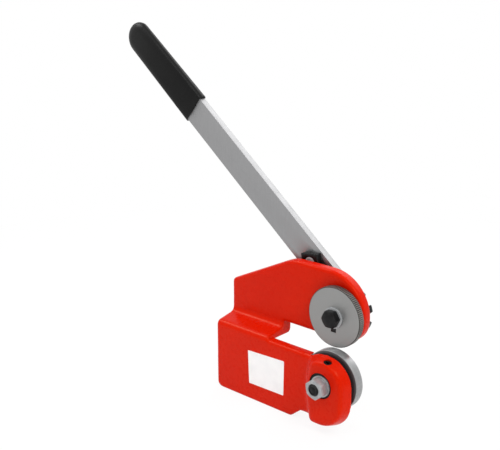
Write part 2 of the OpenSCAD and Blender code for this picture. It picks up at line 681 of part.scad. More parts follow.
module set_screw() color([0.15, 0.15, 0.15]) {
    low = eccentric_d / 2;
    high = set_screw_top - set_screw_recess;
    at_set_screw() translate([0, 0, low]) difference() {
        cylinder(d = set_screw_d - 2 * run, h = high - low);
        translate([0, 0, (high - low) / 2]) cylinder(d = set_screw_d / 1.8, h = high - low, $fn = 6);
    }
}

frame();
arm_bushing();
drive_shaft();
upper_cutter();
cutter_key();
cutter_washer();
cutter_bolt();
ratchet_wheel();
ratchet_key();
lever_bar();
grip();
lever_bushing();
lever_washer();
lever_bolt();
pawl();
pawl_bolt();
pawl_washer();
pawl_nut();
pawl_spring();
lower_cutter();
cutter_bushing();
eccentric_bush();
lower_axle();
axle_washer();
axle_nut();
set_screw();
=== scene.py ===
"""Looks of the bench rotary shear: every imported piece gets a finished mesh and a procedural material.

Lengths are metres in the row's frame: origin under the middle of the foot, +Z up,
+X toward the cutting wheels, -Y toward the front.
"""
import json
import math

import bmesh
import bpy
from mathutils import Matrix, Vector

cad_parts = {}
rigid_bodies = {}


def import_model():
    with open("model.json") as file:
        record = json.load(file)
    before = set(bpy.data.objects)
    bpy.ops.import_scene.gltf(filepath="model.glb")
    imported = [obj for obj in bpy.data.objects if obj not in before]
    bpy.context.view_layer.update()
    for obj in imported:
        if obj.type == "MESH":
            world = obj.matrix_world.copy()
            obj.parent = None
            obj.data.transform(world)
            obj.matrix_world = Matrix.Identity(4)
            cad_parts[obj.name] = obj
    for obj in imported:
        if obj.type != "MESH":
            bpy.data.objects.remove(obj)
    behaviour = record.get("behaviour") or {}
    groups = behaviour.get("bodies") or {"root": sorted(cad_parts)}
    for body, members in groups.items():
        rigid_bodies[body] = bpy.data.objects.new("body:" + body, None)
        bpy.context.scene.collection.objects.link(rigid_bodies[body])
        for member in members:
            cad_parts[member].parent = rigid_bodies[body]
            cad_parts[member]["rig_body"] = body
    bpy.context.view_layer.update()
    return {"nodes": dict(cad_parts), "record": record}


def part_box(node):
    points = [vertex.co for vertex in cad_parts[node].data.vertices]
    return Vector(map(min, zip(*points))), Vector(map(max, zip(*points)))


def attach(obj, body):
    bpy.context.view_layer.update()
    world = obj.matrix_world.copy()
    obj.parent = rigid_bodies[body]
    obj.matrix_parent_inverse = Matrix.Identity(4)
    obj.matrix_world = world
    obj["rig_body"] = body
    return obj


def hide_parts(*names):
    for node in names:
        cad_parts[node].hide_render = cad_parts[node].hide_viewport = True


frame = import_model()
MM = 0.001


# Places and sizes read from the frame

def middle(node):
    low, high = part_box(node)
    return (low + high) / 2


def front_back(node):
    low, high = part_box(node)
    return low.y, high.y


shaft = middle("upper_cutter")
axle = middle("lower_cutter")
pivot = middle("pawl_bolt")
bush = middle("eccentric_bush")
cutter_r = (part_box("upper_cutter")[1].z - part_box("upper_cutter")[0].z) / 2
LEVER_ANGLE = math.radians(51)
lever_axes = Matrix.Translation((shaft.x, 0, shaft.z)) @ Matrix.Rotation(-LEVER_ANGLE, 4, "Y")


def lever_box(node):
    """A node's box in the lever's own axes: X across it, Z along it."""
    inverse = lever_axes.inverted()
    points = [inverse @ v.co for v in frame["nodes"][node].data.vertices]
    return (Vector([min(p[i] for p in points) for i in range(3)]),
            Vector([max(p[i] for p in points) for i in range(3)]))


# Mesh helpers

def new_object(name, mesh):
    obj = bpy.data.objects.new(name, mesh)
    bpy.context.scene.collection.objects.link(obj)
    return obj


def bake(obj):
    """Applies obj's modifiers."""
    bpy.context.view_layer.update()
    depsgraph = bpy.context.evaluated_depsgraph_get()
    mesh = bpy.data.meshes.new_from_object(obj.evaluated_get(depsgraph))
    obj.modifiers.clear()
    obj.data = mesh
    return obj


def smooth(obj, degrees=35):
    """Smooth shading with sharp edges above an angle."""
    mesh = obj.data
    mesh.shade_smooth()
    mesh.set_sharp_from_angle(angle=math.radians(degrees))
    return obj


def from_bmesh(name, bm):
    bmesh.ops.recalc_face_normals(bm, faces=bm.faces)
    mesh = bpy.data.meshes.new(name)
    bm.to_mesh(mesh)
    bm.free()
    return new_object(name, mesh)


def node_copy(name, *nodes):
    """One object with the welded, simplified meshes of some CAD nodes."""
    bm = bmesh.new()
    for node in nodes:
        bm.from_mesh(frame["nodes"][node].data)
    bmesh.ops.remove_doubles(bm, verts=bm.verts, dist=0.01 * MM)
    bmesh.ops.dissolve_limit(bm, angle_limit=math.radians(0.5), verts=bm.verts, edges=bm.edges)
    return from_bmesh(name, bm)


def bevelled(obj, width, segments=2, degrees=40):
    """Rounds the edges that are sharper than an angle."""
    bevel = obj.modifiers.new("bevel", "BEVEL")
    bevel.width = width
    bevel.segments = segments
    bevel.limit_method = "ANGLE"
    bevel.angle_limit = math.radians(degrees)
    bevel.miter_outer = "MITER_ARC"
    bevel.use_clamp_overlap = True
    return bake(obj)


def cut(obj, cutter):
    """Takes the cutter's space out of obj and removes the cutter."""
    boolean = obj.modifiers.new("cut", "BOOLEAN")
    boolean.operation = "DIFFERENCE"
    boolean.solver = "EXACT"
    boolean.object = cutter
    bake(obj)
    bpy.data.objects.remove(cutter)
    return obj


def place(obj, matrix):
    """Moves obj's mesh, not the object."""
    obj.data.transform(matrix)
    return obj


def ring(bm, x, z, y, steps, radius_of):
    """Vertices round an axis along Y at (x, z). radius_of gives the radius at each step."""
    result = []
    for i in range(steps):
        r, angle = radius_of(i), 2 * math.pi * i / steps
        result.append(bm.verts.new((x + r * math.cos(angle), y, z + r * math.sin(angle))))
    return result


def skin(bm, rings):
    """Faces between each ring and the next."""
    for a, b in zip(rings, rings[1:]):
        for i in range(len(a)):
            j = (i + 1) % len(a)
            bm.faces.new((a[i], a[j], b[j], b[i]))


def revolve(name, profile, x, z, steps=96):
    """A solid turned about an axis along Y at (x, z). The profile is a closed loop of (radius, y)."""
    bm = bmesh.new()
    rings = [[bm.verts.new((x, y, z))] if r == 0 else ring(bm, x, z, y, steps, lambda i: r)
             for r, y in profile]
    for a, b in zip(rings, rings[1:] + rings[:1]):
        if len(a) == 1 and len(b) == 1:
            continue
        for i in range(steps):
            j = (i + 1) % steps
            corners = [a[i % len(a)], a[j % len(a)], b[j % len(b)], b[i % len(b)]]
            bm.faces.new(list(dict.fromkeys(corners)))
    return from_bmesh(name, bm)


ROUND_CHAMFER = 0.29     # where the middle of a rounded chamfer lies, as a share of its width


def turned(y0, y1, r, bore, chamfer, bore_chamfer):
    """Profile of a ring or washer with rounded outer edges."""
    mid = ROUND_CHAMFER * chamfer
    profile = []
    for y, sign in ((y0, 1), (y1, -1)):
        side = [(bore + bore_chamfer, y), (r - chamfer, y),
                (r - mid, y + sign * mid), (r, y + sign * chamfer)]
        profile += side if sign > 0 else side[::-1]
    return profile + [(bore, y1 - bore_chamfer), (bore, y0 + bore_chamfer)]


def rod_y(name, x, z, r, y0, y1, steps=96):
    """A round rod along Y."""
    return revolve(name, [(0, y0), (r, y0), (r, y1), (0, y1)], x, z, steps)


THREAD_ROWS = 8           # rings of vertices in one turn of a thread
THREAD_DEPTH = 0.6        # depth of a thread, as a share of its pitch
# The stud's end: rings inside the thread, as a share of its radius and of the thread's depth
STUD_DOME = [(0.25, 0.1), (0.5, 0.5), (0.56, 0.7), (0.66, 0.15)]


def thread(name, x, z, r, y0, y1, pitch, steps=64):
    """The end of a threaded stud at y0, with a real helix, a chamfered tip and a domed middle."""
    depth = THREAD_DEPTH * pitch
    rows = int((y1 - y0) / pitch * THREAD_ROWS)
    bm = bmesh.new()
    tip = bm.verts.new((x, y0, z))
    rings = [ring(bm, x, z, y0 + deep * depth, steps, lambda i: share * r) for share, deep in STUD_DOME]
    for k in range(rows + 1):
        y = y0 + 0.1 * depth + (y1 - y0) * k / rows
        tip_chamfer = max(0, 1.8 * depth - (y - y0))

        def groove(i):
            turn = ((y - y0) / pitch - i / steps) % 1
            return depth * (1 - abs(2 * turn - 1)) ** 1.2

        rings.append(ring(bm, x, z, y, steps, lambda i: r - max(tip_chamfer, groove(i))))
    for i in range(steps):
        bm.faces.new((tip, rings[0][(i + 1) % steps], rings[0][i]))
    skin(bm, rings)
    bm.faces.new(rings[-1])
    return from_bmesh(name, bm)


# Materials

def srgb(r, g, b):
    """A colour given as 0-255 screen values, as linear light."""
    linear = [c / 255 / 12.92 if c <= 10 else ((c / 255 + 0.055) / 1.055) ** 2.4 for c in (r, g, b)]
    return (*linear, 1)


class Nodes:
    """Short calls that add nodes to a tree. An input is a plain value or another node's socket."""

    def __init__(self, tree):
        self.tree = tree

    def node(self, kind, inputs=None, **settings):
        node = self.tree.nodes.new(kind)
        for key, value in settings.items():
            setattr(node, key, value)
        for key, value in (inputs or {}).items():
            if isinstance(value, bpy.types.NodeSocket):
                self.tree.links.new(value, node.inputs[key])
            else:
                node.inputs[key].default_value = value
        return node

    def math(self, operation, a, b=0.0):
        return self.node("ShaderNodeMath", {0: a, 1: b}, operation=operation).outputs[0]

    def ramp(self, value, low, high, start=0.0, end=1.0):
        """Maps value from low..high to start..end, clamped."""
        return self.node("ShaderNodeMapRange", {"Value": value, "From Min": low, "From Max": high,
                                                "To Min": start, "To Max": end}).outputs[0]


class Material(Nodes):
    """A Principled material and short calls for the textures that feed it."""

    def __init__(self, name, values):
        self.mat = bpy.data.materials.new(name)
        self.mat.use_nodes = True
        super().__init__(self.mat.node_tree)
        self.shader = self.tree.nodes["Principled BSDF"]
        for key, value in values.items():
            self.shader.inputs[key].default_value = value
        self.coords = self.node("ShaderNodeTexCoord").outputs["Object"]

    def mapped(self, location=(0, 0, 0), rotation=(0, 0, 0), scale=(1, 1, 1)):
        return self.node("ShaderNodeMapping", {"Vector": self.coords, "Location": location,
                                               "Rotation": rotation, "Scale": scale}).outputs[0]

    def noise(self, scale, detail=3, rough=0.5, vector=None):
        return self.node("ShaderNodeTexNoise", {"Vector": vector or self.coords, "Scale": scale,
                                                "Detail": detail, "Roughness": rough}).outputs["Fac"]

    def mix(self, factor, a, b):
        return self.node("ShaderNodeMix", {0: factor, 6: a, 7: b}, data_type="RGBA").outputs[2]

    def bump(self, height, strength, distance, normal=None):
        inputs = {"Height": height, "Strength": strength, "Distance": distance}
        if normal is not None:
            inputs["Normal"] = normal
        return self.node("ShaderNodeBump", inputs).outputs[0]

    def feed(self, colour, roughness, normal):
        self.tree.links.new(colour, self.shader.inputs["Base Color"])
        self.tree.links.new(roughness, self.shader.inputs["Roughness"])
        self.tree.links.new(normal, self.shader.inputs["Normal"])
        return self.mat


def gloss_paint():
    """Thick sprayed enamel over a cast surface: orange peel, faint casting waves, uneven gloss."""
    m = Material("casting_enamel", {"Specular IOR Level": 0.14, "Specular Tint": (1, 0.6, 0.3, 1)})
    tone = m.mix(m.ramp(m.noise(9, 4), 0.3, 0.7), srgb(200, 20, 0), srgb(208, 27, 0))
    peel = m.bump(m.noise(700, 2), 0.05, 0.12 * MM)
    waves = m.bump(m.noise(60, 2, 0.5), 0.05, 0.5 * MM, peel)
    return m.feed(tone, m.ramp(m.noise(140, 3), 0.3, 0.8, 0.24, 0.36), waves)


def brushed(name, colour, dark, rotation, stretch, roughness=0.44):
    """Metal with fine scratches that run along one direction."""
    m = Material(name, {"Metallic": 1.0})
    fine = m.noise(1400, 3, 0.6, m.mapped(rotation=rotation, scale=stretch))
    broad = m.noise(60, 4, 0.6)
    tone = m.mix(m.ramp(fine, 0.25, 0.75), dark, colour)
    rough = m.math("ADD", m.ramp(broad, 0.3, 0.7, roughness - 0.05, roughness + 0.05),
                   m.ramp(fine, 0.2, 0.8, -0.04, 0.04))
    return m.feed(tone, rough, m.bump(fine, 0.05, 0.03 * MM))


def lathed(name, colour, dark, centre, roughness, rim=None, rim_from=1.0, groove=None, metallic=1.0):
    """Turned metal: fine rings about an axis along Y on the faces, fine lines across the rim.

    rim holds the rim's dark and bright colour, and groove a painted shade: the dark colour mixed into the
    deep part of its grooves.
    """
    m = Material(name, {"Metallic": metallic})
    here = m.node("ShaderNodeSeparateXYZ", {0: m.mapped(location=(-centre.x, 0, -centre.z))}).outputs
    square = m.math("ADD", m.math("POWER", m.math("ABSOLUTE", here[0]), 2.0),
                    m.math("POWER", m.math("ABSOLUTE", here[2]), 2.0))
    radius = m.math("SQRT", square)
    angle = m.math("ARCTAN2", here[0], here[2])
    around = m.node("ShaderNodeCombineXYZ", {0: m.math("DIVIDE", radius, 0.35 * MM),
                                             1: m.math("MULTIPLY", here[1], 60.0)})
    across = m.node("ShaderNodeCombineXYZ", {0: m.math("MULTIPLY", angle, 90.0),
                                             1: m.math("MULTIPLY", here[1], 40.0)})
    on_rim = m.ramp(radius, rim_from - 0.4 * MM, rim_from)
    on_face = m.math("SUBTRACT", 1.0, on_rim)
    rings = m.math("ADD", m.math("MULTIPLY", m.noise(1.0, 3, 0.6, around.outputs[0]), on_face),
                   m.math("MULTIPLY", m.noise(1.0, 3, 0.6, across.outputs[0]), on_rim))
    stain = m.noise(45, 4, 0.6)
    shade = m.math("ADD", m.ramp(rings, 0.2, 0.8, 0, 0.7), m.ramp(stain, 0.3, 0.7, 0, 0.3))
    tone = m.mix(shade, dark, colour)
    if rim:
        bright = m.mix(shade, *rim)
        # Painted shade: the deep part of each groove is mixed towards the groove colour.
        if groove:
            bright = m.mix(m.ramp(radius, rim_from + 0.2 * MM, rim_from + 0.8 * MM), groove, bright)
        tone = m.mix(on_rim, tone, bright)
    rough = m.math("ADD", m.ramp(stain, 0.3, 0.7, roughness - 0.04, roughness + 0.06),
                   m.ramp(rings, 0.2, 0.8, -0.04, 0.04))
    return m.feed(tone, rough, m.bump(rings, 0.2, 0.05 * MM))


def black_oxide():
    """Blackened steel with a slight oily sheen and paler rubbed patches."""
    m = Material("black_oxide", {"Metallic": 0.75, "Specular IOR Level": 0.4})
    patches = m.noise(160, 5, 0.6)
    tone = m.mix(m.ramp(patches, 0.45, 0.8), srgb(24, 24, 25), srgb(42, 42, 42))
    rough = m.ramp(m.noise(420, 4), 0.3, 0.7, 0.3, 0.45)
    return m.feed(tone, rough, m.bump(m.noise(1500, 3), 0.2, 0.05 * MM))


def zinc():
    """Bright plating, slightly clouded."""
    m = Material("zinc_plate", {"Metallic": 0.4, "Specular IOR Level": 0.3})
    cloud = m.noise(220, 4, 0.6)
    tone = m.mix(m.ramp(cloud, 0.3, 0.7), srgb(146, 148, 150), srgb(172, 174, 175))
    return m.feed(tone, m.ramp(cloud, 0.3, 0.7, 0.3, 0.42), m.bump(m.noise(1800, 2), 0.12, 0.04 * MM))


def bronze():
    """Sintered bearing metal."""
    m = Material("bearing_bronze", {"Metallic": 1.0})
    cloud = m.noise(180, 4, 0.6)
    tone = m.mix(m.ramp(cloud, 0.3, 0.7), srgb(150, 112, 60), srgb(190, 150, 90))
    return m.feed(tone, m.ramp(cloud, 0.3, 0.7, 0.3, 0.42), m.bump(m.noise(1200, 2), 0.15, 0.04 * MM))


def vinyl():
    """Black dipped grip: satin, with a fine leathery grain and faint flow along its length."""
    m = Material("grip_vinyl", {"Specular IOR Level": 0.2})
    tone = m.mix(m.ramp(m.noise(40, 4), 0.3, 0.7), srgb(5, 5, 5), srgb(11, 11, 11))
    cells = m.node("ShaderNodeTexVoronoi", {"Vector": m.coords, "Scale": 850.0}).outputs["Distance"]
    grain = m.bump(cells, 0.18, 0.08 * MM)
    flow = m.bump(m.noise(45, 2), 0.2, 0.5 * MM, grain)
    return m.feed(tone, m.ramp(m.noise(260, 4), 0.3, 0.7, 0.36, 0.46), flow)


def sticker_film():
    """Plain white plastic film."""
    m = Material("plate_film", {"Specular IOR Level": 0.3})
    tone = m.mix(m.ramp(m.noise(60, 4), 0.35, 0.7), srgb(240, 240, 240), srgb(248, 248, 247))
    rough = m.ramp(m.noise(300, 3), 0.3, 0.7, 0.3, 0.4)
    return m.feed(tone, rough, m.bump(m.noise(500, 2), 0.1, 0.05 * MM))


ALONG_LEVER = (0, LEVER_ANGLE, 0)
MATERIALS = {
    "casting": gloss_paint(),
    "lever_steel": brushed("lever_steel", srgb(159, 159, 160), srgb(148, 148, 149),
                           ALONG_LEVER, (1, 1, 0.03)),
    # The knurled wheel's rim carries a painted shade in the bottom of its grooves (groove).
    "cutter_steel": lathed("cutter_steel", srgb(154, 154, 153), srgb(142, 142, 141), shaft, 0.42,
                           rim=(srgb(122, 117, 113), srgb(140, 135, 131)), rim_from=cutter_r - 0.9 * MM,
                           groove=srgb(22, 20, 19), metallic=0.9),
    # The lower wheel's faces are much darker than its rim: darker metal, deepened as painted shade for the
    # narrow gap between the boss and the wheel.
    "roller_steel": lathed("roller_steel", srgb(84, 84, 86), srgb(68, 68, 70), axle, 0.34,
                           rim=(srgb(122, 122, 123), srgb(176, 177, 178)),
                           rim_from=cutter_r - 0.6 * MM, metallic=0.65),
    "shaft_steel": lathed("shaft_steel", srgb(150, 150, 152), srgb(120, 120, 122), shaft, 0.34),
    "black_steel": black_oxide(),
    "zinc_steel": zinc(),
    "bronze": bronze(),
    "grip_plastic": vinyl(),
}
SLOTS = {part["node"]: part["material_slot"] for part in frame["record"]["subparts"]}


def part_of(piece, body, slot, material=None):
    """A piece that moves with its body and adds to the nodes."""
    piece.data.materials.clear()
    piece.data.materials.append(material or MATERIALS[slot])
    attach(piece, body)
    return piece


def finish_piece(piece, node):
    """The piece takes the node's place, its body and its material slot."""
    part_of(piece, frame["nodes"][node]["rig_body"], SLOTS[node])
    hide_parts(node)
    return piece


# The casting

CASTING_VOXEL = 1.1 * MM
CASTING_SMOOTHING = 9     # rounds of smoothing for the whole casting
RAMP_SMOOTHING = 60       # more for the left flank of the boss
BOSS_SMOOTHING = 16       # and for the rest of the boss
RAMP_HALF = 13 * MM       # half the width of the band that counts as the flank
RAMP_FRONT = -5 * MM      # and the plane that it lies in front of
FLANK_AT = 1.55           # the flank's distance from the bush, in radii of the bush
ARM_HALF = 8 * MM         # half the lower arm's thickness
EDGE_R = 4 * MM           # rounding of its edges
ARM_EDGE_Z = 55 * MM      # the arm's own rounding runs above this level
BORE_CLEARANCE = 0.1 * MM
BORE_OVER = 5 * MM        # how far a bore's cutter stands out of the metal
PLUG_GROWN = 0.3 * MM     # the plugs that close the holes for the remesh reach this far into the metal
PLUG_SHORT = 0.02 * MM    # and end this far behind the front
SCREW_ANGLE = math.radians(11)
SCREW_SCALE = 0.9         # the hole and the screw are drawn slimmer than the node,
SCREW_SHIFT = 0.5 * MM    # and further back, which leaves more wall in front of them
SCREW_UNDER = 1 * MM      # the hole starts this far inside the bush's bore
SCREW_PLUG = 15.4 * MM    # length of the hole outside that bore
SCREW_CUTTER = 30 * MM    # and of the cutter that opens it again
screw_y = middle("set_screw").y
screw_r = (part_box("set_screw")[1].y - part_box("set_screw")[0].y) / 2


def screw_axes(y):
    """Axes of the set screw: origin in the middle of the eccentric bush, the hole along Z."""
    return Matrix.Translation((bush.x, y, bush.z)) @ Matrix.Rotation(SCREW_ANGLE, 4, "Y")


def screw_rod(name, y, r, z0, z1):
    """A round rod along the set screw's axis."""
    bm = bmesh.new()
    bmesh.ops.create_cone(bm, cap_ends=True, segments=64, radius1=r, radius2=r, depth=z1 - z0)
    bmesh.ops.translate(bm, verts=bm.verts, vec=(0, 0, (z0 + z1) / 2))
    return place(from_bmesh(name, bm), screw_axes(y))


def even_left_edges(obj):
    """Gives the foot's left edges the same rounding as the lower arm's above them."""
    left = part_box("frame")[0].x
    flat = ARM_HALF - EDGE_R
    for v in obj.data.vertices:
        past = abs(v.co.y) - flat
        if v.co.z < ARM_EDGE_Z and 0 < past < EDGE_R and v.co.x < left + EDGE_R:
            v.co.x = max(v.co.x, left + EDGE_R - math.sqrt(EDGE_R ** 2 - past ** 2))


def casting():
    """The cast frame with soft fillets, and its bores cut clean afterwards."""
    obj = node_copy("casting", "frame")
    boss_high = front_back("eccentric_bush")[1]
    arm_low, arm_high = front_back("arm_bushing")
    bush_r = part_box("eccentric_bush")[1].z - bush.z
    screw_from = bush_r - SCREW_UNDER
    bores = [(bush, bush_r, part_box("frame")[0].y, boss_high),
             (shaft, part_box("arm_bushing")[1].z - shaft.z, arm_low, arm_high)]
    plugs = [rod_y("plug", centre.x, centre.z, r + PLUG_GROWN, y0 + PLUG_SHORT, y1 - PLUG_GROWN)
             for centre, r, y0, y1 in bores]
    plugs.append(screw_rod("plug", screw_y, screw_r + PLUG_GROWN, screw_from, bush_r + SCREW_PLUG))
    bm = bmesh.new()
    bm.from_mesh(obj.data)
    for plug in plugs:
        bm.from_mesh(plug.data)
        bpy.data.objects.remove(plug)
    bm.to_mesh(obj.data)
    bm.free()
    remesh = obj.modifiers.new("remesh", "REMESH")
    remesh.mode = "VOXEL"
    remesh.voxel_size = CASTING_VOXEL
    bake(obj)
    ramp = obj.vertex_groups.new(name="ramp")
    boss = obj.vertex_groups.new(name="boss")
    flank = bush.x - FLANK_AT * bush_r
    for v in obj.data.vertices:
        if v.co.z >= shaft.z - cutter_r:
            continue
        if v.co.x > flank + RAMP_HALF:
            boss.add([v.index], 1.0, "REPLACE")
        elif v.co.x > flank - RAMP_HALF and v.co.y < RAMP_FRONT:
            ramp.add([v.index], 1.0, "REPLACE")
    even_left_edges(obj)
    for group, rounds in (("", CASTING_SMOOTHING), ("ramp", RAMP_SMOOTHING), ("boss", BOSS_SMOOTHING)):
        soften = obj.modifiers.new("soften", "SMOOTH")
        soften.factor = 0.5
        soften.iterations = rounds
        soften.vertex_group = group
    bake(obj)
    for centre, r, y0, y1 in bores:
        cut(obj, rod_y("bore", centre.x, centre.z, r + BORE_CLEARANCE, y0 - BORE_OVER, y1 + BORE_OVER, 128))
    cut(obj, screw_rod("hole", screw_y + SCREW_SHIFT, screw_r * SCREW_SCALE,
                       screw_from, bush_r + SCREW_CUTTER))
    return finish_piece(smooth(obj, 40), "frame")


casting()


# Plain plate on the front of the lower arm, with nothing printed on it

PLATE_CORNERS = [          # (x, z) in millimetres
    (-7.5, 71.9), (-5.4, 24.2), (55.2, 25.5), (56.1, 74.9),
]
PLATE_THICK = 0.25 * MM
PLATE_ROUND = 1.2 * MM


def rounded(points, r, steps=6):
    """The points of a convex outline with an arc of radius r at each corner."""
    result = []
    for before, here, after in zip(points[-1:] + points[:-1], points, points[1:] + points[:1]):
        here, a, b = (Vector(p).resized(2) for p in (here, before, after))
        u, w = (a - here).normalized(), (b - here).normalized()
        half = u.angle(w) / 2
        centre = here + (u + w).normalized() * r / math.sin(half)
        start, end = here + u * r / math.tan(half), here + w * r / math.tan(half)
        for k in range(steps + 1):
            arm = (start - centre).lerp(end - centre, k / steps).normalized() * r
            result.append(centre + arm)
    return result


def plate():
    """A thin film with round corners on the arm's front."""
    front = -ARM_HALF
    bm = bmesh.new()
    corners = [(x * MM, z * MM) for x, z in PLATE_CORNERS]
    bm.faces.new([bm.verts.new((x, front, z)) for x, z in rounded(corners, PLATE_ROUND)])
    grown = bmesh.ops.extrude_face_region(bm, geom=list(bm.faces))
    bmesh.ops.translate(bm, vec=(0, -PLATE_THICK, 0),
                        verts=[v for v in grown["geom"] if isinstance(v, bmesh.types.BMVert)])
    return part_of(from_bmesh("blank_plate", bm), "base", "casting", sticker_film())


plate()


# Cutting wheels

KNURL_COUNT = 100
KNURL_DEPTH = 0.8 * MM
KNURL_SHAPE = [0, 0, 0.45, 1, 1, 0.45]     # share of the depth, step by step across one groove
RIM_CHAMFER = 0.8 * MM
UPPER_BORE_R = 12 * MM
KEYWAY_WIDTH = 8 * MM
KEYWAY_REACH = 20 * MM    # from the shaft's axis to the bottom of the keyway
LOWER_BORE_R = 14 * MM
LOWER_CHAMFER = 0.4 * MM  # of the lower wheel's bore and recess
RECESS_R = 17.4 * MM      # recess in its back
RECESS_DEPTH = 4.4 * MM
HUB_R = 23.5 * MM         # the front face is relieved outside the hub
HUB_RISE = 1.5 * MM
BACK_CHAMFER = 0.15 * MM  # the cutting edge is nearly sharp


def knurled_wheel():
    """The driven wheel: V grooves across its rim, run out into the chamfers."""
    y0, y1 = front_back("upper_cutter")
    steps = KNURL_COUNT * len(KNURL_SHAPE)
    rows = [(y0, RIM_CHAMFER, 0), (y0 + 0.35 * RIM_CHAMFER, 0.3 * RIM_CHAMFER, 1),
            (y0 + RIM_CHAMFER, 0, 1), (y1 - RIM_CHAMFER, 0, 1),
            (y1 - 0.35 * RIM_CHAMFER, 0.3 * RIM_CHAMFER, 1), (y1, RIM_CHAMFER, 0)]
    bm = bmesh.new()

    def wheel_ring(y, radius_of):
        return ring(bm, shaft.x, shaft.z, y, steps, radius_of)

    rings = [wheel_ring(y0, lambda i: UPPER_BORE_R)]
    for y, inset, grooved in rows:
        depth = grooved * KNURL_DEPTH
        rings.append(wheel_ring(
            y, lambda i: cutter_r - max(inset, depth * KNURL_SHAPE[i % len(KNURL_SHAPE)])))
    rings.append(wheel_ring(y1, lambda i: UPPER_BORE_R))
    skin(bm, rings + rings[:1])
    obj = from_bmesh("knurled_wheel", bm)
    cube = bmesh.new()
    bmesh.ops.create_cube(cube, size=1)
    keyway = from_bmesh("keyway", cube)
    place(keyway, Matrix.Translation((shaft.x, (y0 + y1) / 2, shaft.z - KEYWAY_REACH / 2)) @
          Matrix.Diagonal((KEYWAY_WIDTH, 2 * (y1 - y0), KEYWAY_REACH, 1)))
    cut(obj, keyway)
    return finish_piece(smooth(obj, 15), "upper_cutter")


def smooth_wheel():
    """The free wheel: ground rim, small chamfers, a relieved front face and a recess at the back."""
    y0, y1 = front_back("lower_cutter")
    face = y0 + HUB_RISE
    floor_y = y1 - RECESS_DEPTH
    profile = [(LOWER_BORE_R + LOWER_CHAMFER, y0), (HUB_R, y0), (HUB_R + 0.5 * MM, face),
               (cutter_r - RIM_CHAMFER, face), (cutter_r - 0.3 * RIM_CHAMFER, face + 0.3 * RIM_CHAMFER),
               (cutter_r, face + RIM_CHAMFER), (cutter_r, y1 - BACK_CHAMFER), (cutter_r - BACK_CHAMFER, y1),
               (RECESS_R + LOWER_CHAMFER, y1), (RECESS_R, y1 - LOWER_CHAMFER), (RECESS_R, floor_y),
               (LOWER_BORE_R, floor_y), (LOWER_BORE_R, y0 + LOWER_CHAMFER)]
    return finish_piece(smooth(revolve("smooth_wheel", profile, axle.x, axle.z, 192), 25), "lower_cutter")


knurled_wheel()
smooth_wheel()


# Lever and grip

def lever():
    """The flat bar with its long edges broken."""
    obj = bevelled(node_copy("lever_flat", "lever_bar"), 0.9 * MM, 3)
    return finish_piece(smooth(obj), "lever_bar")


GRIP_EDGE = 14 * MM       # how far the rounding reaches in from each side
GRIP_ROUND = 7.6 * MM     # and from the front and the back
GRIP_FLARE = 1.3 * MM     # the mouth is wider than the rest
GRIP_THIN = 0.2 * MM      # the round end is slimmer
GRIP_LIP = 2.3 * MM       # the mouth runs on along the bar
GRIP_LAYERS = 7           # rings from each face of the grip to its side
GRIP_END_STEPS = 32       # steps round its end


def grip():
    """Dipped sleeve with full soft edges, a flared mouth and a round end, drawn in the lever's axes."""
    low, high = lever_box("grip")
    half, middle_x = (high.x - low.x) / 2, (high.x + low.x) / 2
    angles = [math.radians(90 / (GRIP_LAYERS - 1) * k) for k in range(GRIP_LAYERS)]
    layers = [(GRIP_EDGE * (1 - math.sin(a)), GRIP_ROUND * (1 - math.cos(a))) for a in angles]
    end_angles = [math.pi * k / GRIP_END_STEPS for k in range(GRIP_END_STEPS + 1)]
    bm = bmesh.new()
    rings = []
    for y_side, sign, order in ((low.y, 1, layers), (high.y, -1, layers[::-1])):
        for inset, deep in order:
            wide, slim = half - inset + GRIP_FLARE, half - inset - GRIP_THIN
            mouth = low.z - GRIP_LIP + 0.4 * max(0, GRIP_LIP - deep)
            outline = [(-wide, -GRIP_FLARE / 2, mouth), (wide, -GRIP_FLARE / 2, mouth)]
            outline += [(slim * math.cos(a), 0, high.z - half + slim * math.sin(a)) for a in end_angles]
            rings.append([bm.verts.new((middle_x + x, y_side + sign * (deep + y), z))
                          for x, y, z in outline])
    bm.faces.new(rings[0])
    bm.faces.new(rings[-1])
    skin(bm, rings)
    obj = place(from_bmesh("grip_sleeve", bm), lever_axes)
    cut(obj, node_copy("bar_space", "lever_bar"))
    return finish_piece(smooth(obj, 40), "grip")


lever()
grip()


# Fasteners and inner pieces

def dress(node, width):
    """The CAD node with its edges rounded."""
    return finish_piece(smooth(bevelled(node_copy(node + "_finish", node), width, 2, 35), 40), node)


def washer(node, centre, bore):
    """A turned ring in the place of the CAD node."""
    y0, y1 = front_back(node)
    r = (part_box(node)[1].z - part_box(node)[0].z) / 2
    profile = turned(y0, y1, r, bore, 0.35 * MM, 0.15 * MM)
    return finish_piece(smooth(revolve(node + "_finish", profile, centre.x, centre.z), 30), node)


# Each washer's centre and the radius of its hole in millimetres
WASHERS = {
    "cutter_washer": (shaft, 7.25),
    "axle_washer": (axle, 8),
    "lever_washer": (shaft, 6.25),
    "pawl_washer": (pivot, 5),
}
# How far the edges of each piece are rounded, in millimetres
EDGE_WIDTHS = {
    "cutter_bolt": 0.5, "lever_bolt": 0.4, "axle_nut": 0.35, "pawl_nut": 0.3,
    "cutter_key": 0.3, "ratchet_key": 0.3, "ratchet_wheel": 0.5, "pawl": 0.6,
    "pawl_bolt": 0.4, "arm_bushing": 0.3, "lever_bushing": 0.3,
    "cutter_bushing": 0.3, "eccentric_bush": 0.4, "drive_shaft": 0.4,
}
for node, (centre, bore) in WASHERS.items():
    washer(node, centre, bore * MM)
for node, width in EDGE_WIDTHS.items():
    dress(node, width * MM)


